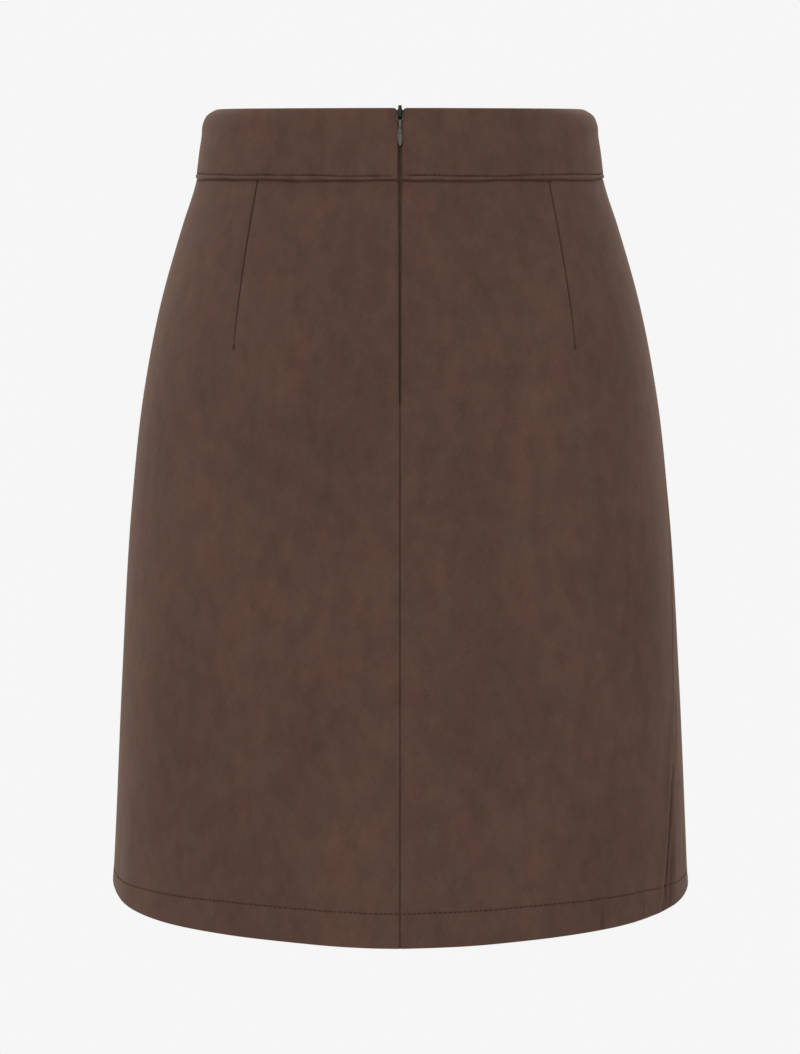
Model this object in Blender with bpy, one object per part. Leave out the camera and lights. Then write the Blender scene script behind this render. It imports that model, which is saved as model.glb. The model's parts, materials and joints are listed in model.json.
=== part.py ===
"""Wrap skirt in brushed suedette, filled out as when worn: a contour waistband, two darted back
panels with a centre-back invisible zip, and a right front that laps over the left.

Metres, +Z up, front towards -Y and the wearer's left at +X. The origin is the centre of the waist,
halfway up the waistband. Angles run anticlockwise seen from above: 0 is the left side, 90 degrees
the centre back, 180 the right side and 270 the centre front.
"""

import math

import bmesh
import bpy
import numpy as np
from mathutils import Matrix, Vector

MM = 0.001
STEP = 0.0001

# Level sections of the filled-out skirt, from the hem up to the top of the waistband.
SECTION_COLUMNS = ("height", "half_width", "back_depth", "front_depth")
SECTION_ROWS = (
    (-472.0, 182.2, 144.5, 137.0),
    (-330.0, 174.8, 139.5, 131.0),
    (-220.0, 166.8, 135.0, 125.0),
    (-150.0, 158.4, 129.0, 118.0),
    (-95.0, 147.4, 117.0, 110.0),
    (-50.0, 134.4, 103.0, 101.0),
    (-21.5, 125.4, 95.0, 95.0),
    (-5.0, 122.8, 93.5, 93.5),
    (5.0, 121.2, 92.94, 92.94),
    (13.0, 120.3, 92.5, 92.5),
    (18.0, 117.3, 92.3, 92.3),
    (21.5, 111.0, 92.0, 92.0),
)
SECTIONS = dict(zip(SECTION_COLUMNS, np.array(SECTION_ROWS).T * MM))
SQUARENESS = 2.4  # 2 is an ellipse, more is fuller at the corners

# Cloth and seams.
CLOTH = 1.2 * MM
SEAM_HALF = 0.17 * MM
LAYER_GAP = 0.4 * MM

# Waistband.
BAND_HALF = 21.5 * MM
BAND_PROUD = 0.7 * MM
BAND_WALL = 2.6 * MM
BAND_END_RADIUS = 3.2 * MM
BAND_COLUMNS = 54

# Skirt panels. Row heights run from the waist seam to just above the hem's fold line.
PANEL_TOP = -BAND_HALF - 0.3 * MM
PANEL_ROWS = (-35, -52, -74, -97, -119, -134, -148.5, -156, -190, -225, -262, -300, -340, -380, -418)
FREE_ROW = -300 * MM  # rows below this one follow the hem's own curve
HEM_SIDE = -466 * MM
HEM_BACK_DIP = 5.6 * MM
HEM_DIP_POWER = 6
HEM_SIDE_RISE = 5 * MM
HEM_RISE_POWER = 12
HEM_DEPTH = 23 * MM
HEM_ROWS = 2  # the fold line and the edge
FOLD_STEP = 0.6 * MM
SEAM_LAG = math.radians(27.2)  # how far the right side seam runs to the back at the hem
SEAM_LAG_POWER = 1.2
SIDE_COLUMNS = 7
CENTRE_COLUMNS = 6

# Back darts: how far out they start at the waist seam and end, and the cloth they take in.
DARTS = {"left": (85 * MM, 98 * MM), "right": (89 * MM, 103.5 * MM)}
DART_END = -119 * MM
DART_GROOVE = 0.5 * MM
DART_HALF = 4 * MM

# Front lap.
LAP_EDGE = (55 * MM, 76 * MM)  # free edge of the right front, at the waist seam and at the hem
UNDER_EDGE = (-55 * MM, -76 * MM)
LAP_CORNER_RADIUS = 16 * MM
LAP_EDGE_STEPS = (22, 12, 5, 1.2, 0)
UNDER_HEM_LIFT = 4 * MM
UNDER_MERGE = (math.radians(302), math.radians(334))
LAP_COLUMNS = 7
FRONT_SIDE_COLUMNS = 7

# Centre-back zip. Offsets are from the panels' outer face, inwards.
GAP_HALF_TOP = 1.25 * MM
GAP_HALF_END = 0.6 * MM
ZIP_END = -148.5 * MM
TAPE_END = -163 * MM
TAPE_TOP = 18.5 * MM
TAPE_WIDTH = 12 * MM
TAPE_WALL = 1.0 * MM
TAPE_OFFSET_PANEL = 1.6 * MM
TAPE_OFFSET_BAND = 2.3 * MM
COIL_HALF = 1.3 * MM
COIL_WALL = 1.8 * MM
COIL_GAP = 0.4 * MM
STOP_HALF = 2.2 * MM
STOP_LENGTH = 3.5 * MM
STOP_WALL = 2.3 * MM

# Slider and pull. The pull hinges on a level axis through the top bar of its ring.
AXIS_HEIGHT = 17.2 * MM
AXIS_OFF_BAND = 1.05 * MM
SLIDER_BOTTOM = 10.5 * MM
BRIDGE_HALF = 0.9 * MM
PULL_THICKNESS = 1.1 * MM


def smooth(name, z):
    """A column of the sections table at heights z, along a curve without kinks."""
    heights, values = SECTIONS["height"], SECTIONS[name]
    slopes = np.gradient(values, heights)
    i = np.clip(np.searchsorted(heights, z) - 1, 0, len(heights) - 2)
    span = heights[i + 1] - heights[i]
    t = (z - heights[i]) / span
    low = (1 + 2 * t) * (1 - t) ** 2 * values[i] + t * (1 - t) ** 2 * span * slopes[i]
    high = (3 - 2 * t) * t**2 * values[i + 1] - (1 - t) * t**2 * span * slopes[i + 1]
    return low + high


def on_form(angle, z):
    """Points of the filled-out form's surface, at angles round it and heights z."""
    across, along = np.cos(angle), np.sin(angle)
    depth = np.where(along > 0, smooth("back_depth", z), smooth("front_depth", z))
    side = np.abs(across) / smooth("half_width", z)
    reach = (side**SQUARENESS + (np.abs(along) / depth) ** SQUARENESS) ** (-1 / SQUARENESS)
    return np.stack([reach * across, reach * along, z + 0 * angle], axis=-1)


def moved_out(angle, z, lift):
    """The form's points moved along its normal by lift, which is negative inwards."""
    across = on_form(angle + STEP, z) - on_form(angle - STEP, z)
    up = on_form(angle, z + STEP) - on_form(angle, z - STEP)
    normal = np.cross(across, up)
    normal /= np.linalg.norm(normal, axis=-1, keepdims=True)
    return on_form(angle, z) + normal * np.broadcast_to(lift, angle.shape)[..., None]


def angle_at(x, z, front=False):
    """The angle at which the back, or the front, is x to the side of its centre line."""
    depth = smooth("front_depth" if front else "back_depth", z)
    share = np.abs(x) / smooth("half_width", z)
    y = depth * (1 - share**SQUARENESS) ** (1 / SQUARENESS)
    return np.arctan2(-y, x) + 2 * np.pi if front else np.arctan2(y, x)


def material(name, colour, roughness, metallic=0.0):
    made = bpy.data.materials.new(name)
    made.use_nodes = True
    shader = made.node_tree.nodes["Principled BSDF"]
    shader.inputs["Base Color"].default_value = (*colour, 1.0)
    shader.inputs["Roughness"].default_value = roughness
    shader.inputs["Metallic"].default_value = metallic
    return made


def new_object(name, bm, finish):
    """Closes off a bmesh as a named object with its faces pointing out."""
    bmesh.ops.recalc_face_normals(bm, faces=bm.faces)
    mesh = bpy.data.meshes.new(name)
    bm.to_mesh(mesh)
    bm.free()
    obj = bpy.data.objects.new(name, mesh)
    bpy.context.scene.collection.objects.link(obj)
    mesh.materials.append(finish)
    return obj


def wall(name, outer, inner, finish):
    """A closed cloth wall between two matching grids of points, with its rim sewn shut."""
    rows, columns = outer.shape[:2]
    bm = bmesh.new()
    skins = [[[bm.verts.new(p) for p in row] for row in grid] for grid in (outer, inner)]
    for skin in skins:
        for i in range(rows - 1):
            for j in range(columns - 1):
                bm.faces.new((skin[i][j], skin[i + 1][j], skin[i + 1][j + 1], skin[i][j + 1]))
    edge = [(0, j) for j in range(columns)]
    edge += [(i, columns - 1) for i in range(1, rows)]
    edge += [(rows - 1, j) for j in range(columns - 2, -1, -1)]
    edge += [(i, 0) for i in range(rows - 2, 0, -1)]
    for (i, j), (k, m) in zip(edge, edge[1:] + edge[:1]):
        bm.faces.new((skins[0][i][j], skins[0][k][m], skins[1][k][m], skins[1][i][j]))
    obj = new_object(name, bm, finish)
    obj.data.set_sharp_from_angle(angle=math.radians(40))
    return obj


def column_shares(counts):
    """How much each key column adds to each column, with counts[k] steps from key k to k + 1."""
    steps = [k + np.arange(count) / count for k, count in enumerate(counts)]
    at = np.concatenate([*steps, [len(counts)]])
    return np.maximum(1 - np.abs(at - np.arange(len(counts) + 1)[:, None]), 0)


def gap_half(z):
    """Half the opening between the centre-back edges: the zip's gap, then a closed seam."""
    stops = (ZIP_END - 7.5 * MM, ZIP_END, BAND_HALF)
    return np.interp(z, stops, (SEAM_HALF, GAP_HALF_END, GAP_HALF_TOP))


def hem(angle):
    """Height of the hem's edge, which dips at the centre back and is cut up a little at the sides."""
    dip = HEM_BACK_DIP * np.maximum(np.sin(angle), 0) ** HEM_DIP_POWER
    return HEM_SIDE - dip + HEM_SIDE_RISE * np.cos(angle) ** HEM_RISE_POWER


def corner_rise(distance, radius):
    """How far a rounded corner lifts an edge, at a distance in from the corner's side."""
    inside = np.clip(radius - distance, 0, radius)
    return radius - np.sqrt(radius**2 - inside**2)


def right_seam(z):
    """The right side seam, which runs towards the back as it goes down."""
    share = np.clip((PANEL_TOP - z) / (PANEL_TOP - HEM_SIDE), 0, 1)
    return np.pi - SEAM_LAG * share**SEAM_LAG_POWER


def panel_heights(angle, edge):
    """Heights of a panel's points, row by row, for its columns' angles and edge heights."""
    fold = hem(angle) + HEM_DEPTH
    rows = np.array([PANEL_TOP, *(height * MM for height in PANEL_ROWS)])[:, None] + 0 * edge
    reach = (fold - FREE_ROW) / (HEM_SIDE + HEM_DEPTH - FREE_ROW)
    rows = np.where(rows < FREE_ROW, FREE_ROW + (rows - FREE_ROW) * reach, rows)
    return np.vstack([rows, fold + FOLD_STEP, fold, edge])


def panel(name, keys, counts, finish, edge=hem, lift=None, fold_in=None):
    """A skirt panel: keys give key columns' angles at any heights; the hem is turned up inside."""
    shares = column_shares(counts)

    def angles(z):
        return sum(share * key(z) for share, key in zip(shares, keys))

    at_hem = angles(HEM_SIDE + 0 * shares[0])
    z = panel_heights(at_hem, edge(at_hem))
    angle = angles(z)
    doubled = np.arange(len(z))[:, None] >= len(z) - HEM_ROWS
    outer_lift = np.zeros_like(z)
    if lift is not None:
        outer_lift = lift(angle, len(z))
    inner_lift = outer_lift - np.where(doubled, 2 * CLOTH, CLOTH)
    if fold_in is not None:
        groove, intake = fold_in(z)
        outer_lift, inner_lift = outer_lift - groove, inner_lift - intake
    outer, inner = moved_out(angle, z, outer_lift), moved_out(angle, z, inner_lift)
    return wall(name, outer, inner, finish)


def dart_line(side, z):
    """How far out from the centre back a dart lies, and below its end the panel's own line."""
    start, end = DARTS[side]
    down = np.clip((PANEL_TOP - z) / (PANEL_TOP - DART_END), 0, 1)
    spread = smooth("half_width", np.minimum(z, DART_END)) / smooth("half_width", DART_END)
    return (start + (end - start) * down) * spread


def back_panel(side, finish):
    """A back panel, from its side seam to the centre back, with one dart."""
    sign = 1 if side == "left" else -1
    counts = [SIDE_COLUMNS, 1, 1, CENTRE_COLUMNS]
    dart_column = SIDE_COLUMNS + 1

    def seam(z):
        angle = 0 * z if side == "left" else right_seam(z)
        return angle + sign * SEAM_HALF / smooth("half_width", z)

    def beside_dart(shift):
        return lambda z: angle_at(sign * (dart_line(side, z) + shift), z)

    def centre(z):
        return angle_at(sign * gap_half(z), z)

    def dart(z):
        """The stitched groove outside, and the folded cloth inside, pressed to the centre."""
        depth = np.clip((z - DART_END) / (PANEL_TOP - DART_END), 0, 1)
        at = np.zeros(z.shape[1])
        pressed = at.copy()
        at[dart_column] = 1
        pressed[dart_column : dart_column + 2] = 1
        if side == "right":
            at, pressed = at[::-1], pressed[::-1]
        return DART_GROOVE * at * np.sqrt(depth), CLOTH * pressed * (depth > 0) * depth**0.3

    keys = [seam, beside_dart(DART_HALF), beside_dart(0), beside_dart(-DART_HALF), centre]
    if side == "right":
        keys, counts = keys[::-1], counts[::-1]
    return panel(f"back_{side}", keys, counts, finish, fold_in=dart)


def edge_between(ends, z):
    """A straight edge's distance to the side at heights z, from its ends at waist and hem."""
    share = (PANEL_TOP - z) / (PANEL_TOP - HEM_SIDE)
    return ends[0] + (ends[1] - ends[0]) * share


def lap_columns():
    """Key columns that both fronts share where they overlap, so that their facets match."""
    def along(ends, back):
        return lambda z: angle_at(edge_between(ends, z) - back, z, front=True)

    under = along(UNDER_EDGE, 0)
    return [under] + [along(LAP_EDGE, back * MM) for back in LAP_EDGE_STEPS]


def front_over(finish):
    """The right front, from the right side seam over the centre to its rounded free edge."""
    def seam(z):
        return right_seam(z) + SEAM_HALF / smooth("half_width", z)

    keys = [seam, *lap_columns()]
    counts = [FRONT_SIDE_COLUMNS, LAP_COLUMNS] + [1] * (len(LAP_EDGE_STEPS) - 1)

    def edge(angle):
        rise = np.zeros(angle.shape)
        steps = np.array(LAP_EDGE_STEPS) * MM
        rise[-len(steps) :] = corner_rise(steps, LAP_CORNER_RADIUS)
        return hem(angle) + rise

    return panel("front_over", keys, counts, finish, edge=edge)


def front_under(finish):
    """The left front, whose free part lies behind the right front's lap."""
    def seam(z):
        return 2 * np.pi - SEAM_HALF / smooth("half_width", z)

    keys = [*lap_columns(), seam]
    counts = [LAP_COLUMNS] + [1] * (len(LAP_EDGE_STEPS) - 1) + [FRONT_SIDE_COLUMNS]

    def tucked(angle):
        """1 behind the lap and 0 by the left side seam, with a smooth change between."""
        t = np.clip((UNDER_MERGE[1] - angle) / (UNDER_MERGE[1] - UNDER_MERGE[0]), 0, 1)
        return t * t * (3 - 2 * t)

    def edge(angle):
        return hem(angle) + UNDER_HEM_LIFT * tucked(angle)

    def lift(angle, rows):
        """Clears the lap's inner face, which is two layers in from its hem's fold line."""
        by_hem = np.arange(rows)[:, None] >= rows - HEM_ROWS - 1
        layers = np.where(by_hem, 2, 1)
        return -(layers * CLOTH + LAYER_GAP) * tucked(angle)

    return panel("front_under", keys, counts, finish, edge=edge, lift=lift)


def waistband(finish):
    """The doubled band, from one side of the zip right round to the other, folded at its top."""
    near = np.array([0, 0.75, 2.1, 4.2]) * MM + GAP_HALF_TOP
    ends = angle_at(near, 0 * near)
    first, last = np.pi - ends, ends[::-1] + 2 * np.pi
    middle = np.linspace(first[-1], last[0], BAND_COLUMNS)[1:-1]
    angle = np.concatenate([first, middle, last])
    rise = np.zeros(len(angle))
    rise[: len(near)] = corner_rise(near - GAP_HALF_TOP, BAND_END_RADIUS)
    rise[-len(near) :] = rise[: len(near)][::-1]
    top = BAND_HALF - rise
    shares = np.array([0, 0.02, 0.08, 0.2, 0.4, 0.7, 1])[:, None]
    z = top + (-BAND_HALF - top) * shares
    soften = np.array([0.9, 0.35, 0, 0, 0, 0, 0])[:, None] * MM
    angle = angle + 0 * z
    outer = moved_out(angle, z, BAND_PROUD - soften)
    inner = moved_out(angle, z, BAND_PROUD - BAND_WALL + 0.5 * soften)
    return wall("waistband", outer, inner, finish)


def zip_tape(side, finish):
    """A woven tape sewn behind one edge of the opening, spread apart at the slider."""
    sign = 1 if side == "left" else -1
    z = np.array([TAPE_TOP, 15 * MM, 13 * MM, 11 * MM, -5 * MM, -17 * MM, -23 * MM])
    z = np.concatenate([z, np.linspace(-40 * MM, TAPE_END, 8)])[:, None]
    inner_edge = np.interp(z, (11 * MM, 13 * MM), (SEAM_HALF, GAP_HALF_TOP))
    x = inner_edge + (TAPE_WIDTH - inner_edge) * np.array([0, 0.3, 0.65, 1])
    if side == "left":
        x = x[:, ::-1]
    angle = angle_at(sign * x, z + 0 * x)
    z = z + 0 * x
    behind_band = np.clip((z + 29 * MM) / (6 * MM), 0, 1)
    offset = TAPE_OFFSET_PANEL + (TAPE_OFFSET_BAND - TAPE_OFFSET_PANEL) * behind_band
    outer, inner = moved_out(angle, z, -offset), moved_out(angle, z, -offset - TAPE_WALL)
    return wall(f"zip_tape_{side}", outer, inner, finish)


def behind_tapes(name, heights, half, thickness, finish):
    """A straight strip on the wearer's side of the tapes, along the centre back."""
    x = half * np.array([1, 0.4, -0.4, -1])
    z = np.array(heights)[:, None] + 0 * x
    angle = angle_at(x + 0 * z, z)
    behind_band = np.clip((z + 29 * MM) / (6 * MM), 0, 1)
    near = TAPE_OFFSET_PANEL + (TAPE_OFFSET_BAND - TAPE_OFFSET_PANEL) * behind_band
    near = near + TAPE_WALL + COIL_GAP
    crown = thickness * np.array([0.55, 1, 1, 0.55])
    outer, inner = moved_out(angle, z, -near), moved_out(angle, z, -near - crown)
    return wall(name, outer, inner, finish)


def plate(name, outline, thickness, to_world, finish):
    """A flat plate: an outline in its own u and v, thickened both ways along w."""
    bm = bmesh.new()
    low = [bm.verts.new((u * MM, v * MM, -thickness / 2)) for u, v in outline]
    made = bmesh.ops.extrude_face_region(bm, geom=[bm.faces.new(low)])
    raised = [v for v in made["geom"] if isinstance(v, bmesh.types.BMVert)]
    bmesh.ops.translate(bm, vec=(0, 0, thickness), verts=raised)
    bmesh.ops.transform(bm, matrix=to_world, verts=bm.verts)
    return new_object(name, bm, finish)


def box(name, low, high, finish):
    bm = bmesh.new()
    bmesh.ops.create_cube(bm, size=1)
    size = Vector(high) - Vector(low)
    place = Matrix.Translation((Vector(low) + Vector(high)) / 2) @ Matrix.Diagonal((*size, 1))
    bmesh.ops.transform(bm, matrix=place, verts=bm.verts)
    return new_object(name, bm, finish)


def bevel(obj, width):
    made = obj.modifiers.new("edges", "BEVEL")
    made.width, made.segments, made.limit_method = width, 2, "ANGLE"


def combine(obj, other, operation):
    """Cuts another object out of this one, or joins it on, and hides that other object."""
    made = obj.modifiers.new(operation.lower(), "BOOLEAN")
    made.operation, made.object = operation, other
    other.hide_render, other.display_type = True, "WIRE"
    other.parent = obj


def slider_outline():
    """Side view of the slider's bridge, neck and bail, in mm out from and above the axis."""
    bail = [(1.7, -1.2), (1.7, 1.2), (1.1, 1.8), (-0.6, 1.8)]
    neck = [(-0.95, 2.4), (-0.95, 5.2), (-1.5, 5.8), (-3.4, 5.8), (-4.0, 5.2), (-4.0, 2.4)]
    bridge = [(-6.8, 2.4), (-6.8, -3.4), (-1.3, -3.4), (-0.95, -3.0), (-0.95, -1.8), (1.1, -1.8)]
    return bail + neck + bridge


def zip_slider(axis, finish):
    """The slider: a body behind the tapes, a bridge through the gap and a bail for the pull."""
    sideways = Matrix(((0, 0, 1), (1, 0, 0), (0, 1, 0))).to_4x4()
    made = plate("zip_slider", slider_outline(), 2 * BRIDGE_HALF, sideways, finish)
    hole = plate("bail_hole", [(-1, -1), (1, -1), (1, 1), (-1, 1)], 4 * BRIDGE_HALF, sideways, finish)
    low = (-2.7 * MM, -9.6 * MM, SLIDER_BOTTOM - AXIS_HEIGHT)
    body = box("slider_body", low, (2.7 * MM, -5.65 * MM, 3 * MM), finish)
    bevel(body, 0.6 * MM)
    combine(made, hole, "DIFFERENCE")
    combine(made, body, "UNION")
    made.location = axis
    return made


def pull_outline():
    """Half widths of the pull in mm down from its axis: a ring, a shaft and a teardrop."""
    rows = ((0.6, 1.5), (0.1, 2.15), (-1.0, 2.35), (-2.2, 2.25), (-3.1, 1.8), (-3.9, 1.15))
    rows += ((-4.8, 1.0), (-6.5, 1.1), (-9.0, 1.55), (-11.7, 1.95), (-14.2, 1.85), (-16.2, 1.4))
    rows += ((-17.3, 0.75), (-17.8, 0.25))
    return [(u, v) for v, u in rows] + [(-u, v) for v, u in reversed(rows)]


def zip_pull(axis, lean, finish):
    """The pull, hanging against the band from the slider's bail, with its origin on the axis."""
    upright = Matrix(((1, 0, 0), (0, 0, 1), (0, 1, 0))).to_4x4()
    made = plate("zip_pull", pull_outline(), PULL_THICKNESS, upright, finish)
    ring = [(1.3, -0.5), (1.3, -1.9), (1.1, -2.7), (-1.1, -2.7), (-1.3, -1.9), (-1.3, -0.5)]
    hole = plate("ring_hole", ring, 4 * PULL_THICKNESS, upright, finish)
    bevel(made, 0.2 * MM)
    combine(made, hole, "DIFFERENCE")
    made.location = axis
    made.rotation_euler.x = lean
    return made


def build_zip():
    tape_finish = material("zip_tape_cloth", (0.035, 0.028, 0.02), 0.9)
    metal = material("slider_metal", (0.03, 0.032, 0.028), 0.45, 0.9)
    pull_metal = material("pull_metal", (0.2, 0.19, 0.175), 0.4, 1.0)
    for side in ("left", "right"):
        zip_tape(side, tape_finish)
    coil_top = SLIDER_BOTTOM - 0.3 * MM
    upper = [coil_top, -5 * MM, -17 * MM, -23 * MM, -29 * MM]
    coil_rows = [*upper, *np.linspace(-45 * MM, ZIP_END, 7)]
    behind_tapes("zip_coil", coil_rows, COIL_HALF, COIL_WALL, tape_finish)
    stop_top = ZIP_END - 0.3 * MM
    behind_tapes("zip_stop", [stop_top, stop_top - STOP_LENGTH], STOP_HALF, STOP_WALL, metal)
    off = BAND_PROUD + AXIS_OFF_BAND
    axis = Vector((0, float(smooth("back_depth", np.array(AXIS_HEIGHT))) + off, AXIS_HEIGHT))
    ends = smooth("back_depth", np.array([AXIS_HEIGHT, 0.0]))
    lean = math.atan2(ends[1] - ends[0], AXIS_HEIGHT)
    zip_slider(axis, metal)
    zip_pull(axis, lean, pull_metal)


def main():
    for obj in list(bpy.data.objects):
        bpy.data.objects.remove(obj)
    suede = material("brushed_suedette", (0.093, 0.051, 0.04), 0.95)
    for side in ("left", "right"):
        back_panel(side, suede)
    front_over(suede)
    front_under(suede)
    waistband(material("band_suedette", (0.098, 0.055, 0.044), 0.95))
    build_zip()


main()
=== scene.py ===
"""Looks of a suedette wrap skirt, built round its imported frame: cloth, seams, stitches, zip and stage.

Laid out as a Blender add-on and run as a script. Metres, +Z up, front towards -Y and the wearer's left
at +X. Angles run anticlockwise seen from above: 0 is the left side, 90 degrees the centre back, 180
the right side and 270 the centre front. A lift is a distance out from the skirt's filled-out form.
"""

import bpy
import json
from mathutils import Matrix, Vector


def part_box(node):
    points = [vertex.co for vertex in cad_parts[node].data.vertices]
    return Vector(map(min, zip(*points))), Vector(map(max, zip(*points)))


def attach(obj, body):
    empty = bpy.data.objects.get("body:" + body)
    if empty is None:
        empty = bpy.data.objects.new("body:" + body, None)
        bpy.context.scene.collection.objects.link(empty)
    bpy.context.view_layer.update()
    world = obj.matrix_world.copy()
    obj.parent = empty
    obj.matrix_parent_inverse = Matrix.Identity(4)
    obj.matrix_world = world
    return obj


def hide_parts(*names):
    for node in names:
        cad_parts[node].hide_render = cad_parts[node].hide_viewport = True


bl_info = {
    "name": "Suedette Wrap Skirt",
    "version": (1, 0, 0),
    "blender": (4, 5, 0),
    "location": "3D View > Sidebar > Skirt",
    "description": "Makes the cloth, seams, zip and stage of a suedette wrap skirt round its frame",
    "category": "Object",
}

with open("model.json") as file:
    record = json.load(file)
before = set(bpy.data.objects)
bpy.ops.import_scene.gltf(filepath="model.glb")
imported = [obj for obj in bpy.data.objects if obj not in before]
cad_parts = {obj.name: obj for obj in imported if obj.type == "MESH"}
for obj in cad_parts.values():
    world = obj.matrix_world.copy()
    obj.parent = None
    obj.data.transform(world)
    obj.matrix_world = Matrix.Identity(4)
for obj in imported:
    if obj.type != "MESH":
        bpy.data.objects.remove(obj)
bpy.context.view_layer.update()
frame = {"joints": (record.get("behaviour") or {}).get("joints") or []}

import json
import math

import bpy
import numpy as np
from mathutils import Matrix, Vector

MM = 0.001
STEP = 0.0001

# Level sections of the filled-out skirt, from the hem up to the top of the waistband.
SECTION_COLUMNS = ("height", "half_width", "back_depth", "front_depth")
SECTION_ROWS = (
    (-472.0, 182.2, 144.5, 137.0),
    (-330.0, 174.8, 139.5, 131.0),
    (-220.0, 166.8, 135.0, 125.0),
    (-150.0, 158.4, 129.0, 118.0),
    (-95.0, 147.4, 117.0, 110.0),
    (-50.0, 134.4, 103.0, 101.0),
    (-21.5, 125.4, 95.0, 95.0),
    (-5.0, 122.8, 93.5, 93.5),
    (5.0, 121.2, 92.94, 92.94),
    (13.0, 120.3, 92.5, 92.5),
    (18.0, 117.3, 92.3, 92.3),
    (21.5, 111.0, 92.0, 92.0),
)
SECTIONS = dict(zip(SECTION_COLUMNS, np.array(SECTION_ROWS).T * MM))
SQUARENESS = 2.4

# Heights and edges that the cloth pieces share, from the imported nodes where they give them.
BAND_HALF = 21.5 * MM
PANEL_TOP = -BAND_HALF - 0.3 * MM
HEM_SIDE = -466 * MM
HEM_BACK_DIP = 5.6 * MM
HEM_DIP_POWER = 6
HEM_SIDE_RISE = 5 * MM
HEM_RISE_POWER = 12
FREE_ROW = -300 * MM
HEM_FIXED = 26 * MM  # rows this near the hem's edge run level with it
SEAM_LAG = math.radians(27.2)
SEAM_LAG_POWER = 1.2
SEAM_HALF = -0.02 * MM  # sewn edges press a little into each other
GAP_HALF_TOP = 1.3 * MM
ZIP_END = -148.5 * MM
DARTS = {"left": (85 * MM, 98 * MM), "right": (89 * MM, 103.5 * MM)}
DART_END = -119 * MM
DART_BOW = 1.32
LAP_EDGE = (55 * MM, 76 * MM)
UNDER_EDGE = (-55 * MM, -76 * MM)
LAP_CORNER_RADIUS = 16 * MM
LAP_TURNED = 11 * MM
UNDER_HEM_LIFT = 4 * MM
UNDER_MERGE = (math.radians(302), math.radians(334))
UNDER_BEHIND = 1.6 * MM
TOP_SEAM_ROLL = 1.2 * MM
BEHIND_BAND = 0.45 * MM  # how far the panels reach up behind the waistband's edge
HEM_TURNED = 2.2 * MM  # from the hem's stitches up to its turned-in raw edge
SEAM_ROLL = 0.95 * MM
ALLOWANCE = 11 * MM
LINE_DROP = 7 * MM
STITCH_SLANT = 0.06
STITCH_STRETCH = (0.88, 1.08)
GRID = 2.4 * MM
BAND_PROUD = 0.7 * MM
BAND_WALL = 2.6 * MM
BAND_LENGTH = 0.7
BAND_END_RADIUS = 3.2 * MM
BAND_LINE = -18.1 * MM
BAND_WANDER = ((0.083, 0.5, 0.25 * MM), (0.031, 2.0, 0.12 * MM), (0.19, 4.0, 0.25 * MM))
AXIS_HEIGHT = 17.2 * MM
EDGE_STEPS = np.array([0, 0.12, 0.3, 0.6, 1.0, 1.5, 2.2, 3.2, 4.6, 6.6]) * MM

# Half the opening between the centre-back edges, at heights in mm, and how the waist seam wavers.
GAP_ROWS = ((-151.5, -0.02), (-148.5, 0.35), (-60.0, 0.62), (-22.0, 0.78), (-21.0, 1.2), (21.5, 1.3))
SEAM_RISE = 0.65 * MM
SEAM_WANDER = ((0.037, 0.4, 0.22 * MM), (0.081, 1.9, 0.3 * MM), (0.019, 3.0, 0.12 * MM))

# Soft creases and ridges of the cloth. Angles in degrees, the rest in mm; a negative rise is a trough.
CREASE_COLUMNS = ("top_angle", "top", "low_angle", "low", "half_width", "rise")
CREASE_ROWS = (
    (136.0, -443.0, 134.6, -500.0, 1.3, -1.0),
    (133.5, -440.0, 132.2, -500.0, 2.4, 0.6),
    (144.0, -446.0, 143.2, -500.0, 2.2, 0.45),
    (146.8, -446.0, 146.1, -500.0, 1.3, -0.6),
    (162.3, -318.0, 150.0, -490.0, 2.6, 0.9),
    (161.8, -352.0, 152.0, -490.0, 2.0, -1.2),
    (159.7, -404.0, 154.2, -490.0, 2.8, -0.9),
    (159.8, -398.0, 158.4, -486.0, 4.0, 0.6),
    (165.5, -322.0, 162.5, -386.0, 3.5, 0.5),
    (166.5, -402.0, 165.0, -470.0, 4.0, -0.35),
    (157.0, -386.0, 170.0, -402.0, 9.0, -0.45),
    (181.0, -370.0, 173.0, -490.0, 5.5, -0.45),
    (192.0, -392.0, 189.0, -490.0, 5.5, 0.6),
    (26.0, -380.0, 24.0, -452.0, 4.5, -0.2),
    (17.0, -400.0, 16.0, -490.0, 4.0, -0.2),
    (207.0, -300.0, 213.0, -490.0, 9.0, 0.5),
    (235.0, -352.0, 239.0, -490.0, 7.0, -0.4),
    (262.0, -405.0, 261.0, -500.0, 2.5, -0.5),
    (340.0, -375.0, 336.0, -490.0, 5.0, -0.35),
    (347.0, -330.0, 350.0, -490.0, 8.0, 0.5),
)
CREASES = [dict(zip(CREASE_COLUMNS, row)) for row in CREASE_ROWS]

# Long soft waves in the cloth: how many go round, mm down for one, phase in radians, and rise in mm.
WAVE_ROWS = ((5, 900, 0.4, 0.5), (8, 520, 2.1, 0.35), (13, 340, 4.4, 0.22), (21, -260, 1.3, 0.12))


def smooth(name, z):
    """A column of the sections table at heights z, along a curve without kinks."""
    heights, values = SECTIONS["height"], SECTIONS[name]
    slopes = np.gradient(values, heights)
    i = np.clip(np.searchsorted(heights, z) - 1, 0, len(heights) - 2)
    span = heights[i + 1] - heights[i]
    t = (z - heights[i]) / span
    low = (1 + 2 * t) * (1 - t) ** 2 * values[i] + t * (1 - t) ** 2 * span * slopes[i]
    high = (3 - 2 * t) * t**2 * values[i + 1] - (1 - t) * t**2 * span * slopes[i + 1]
    return low + high


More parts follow.
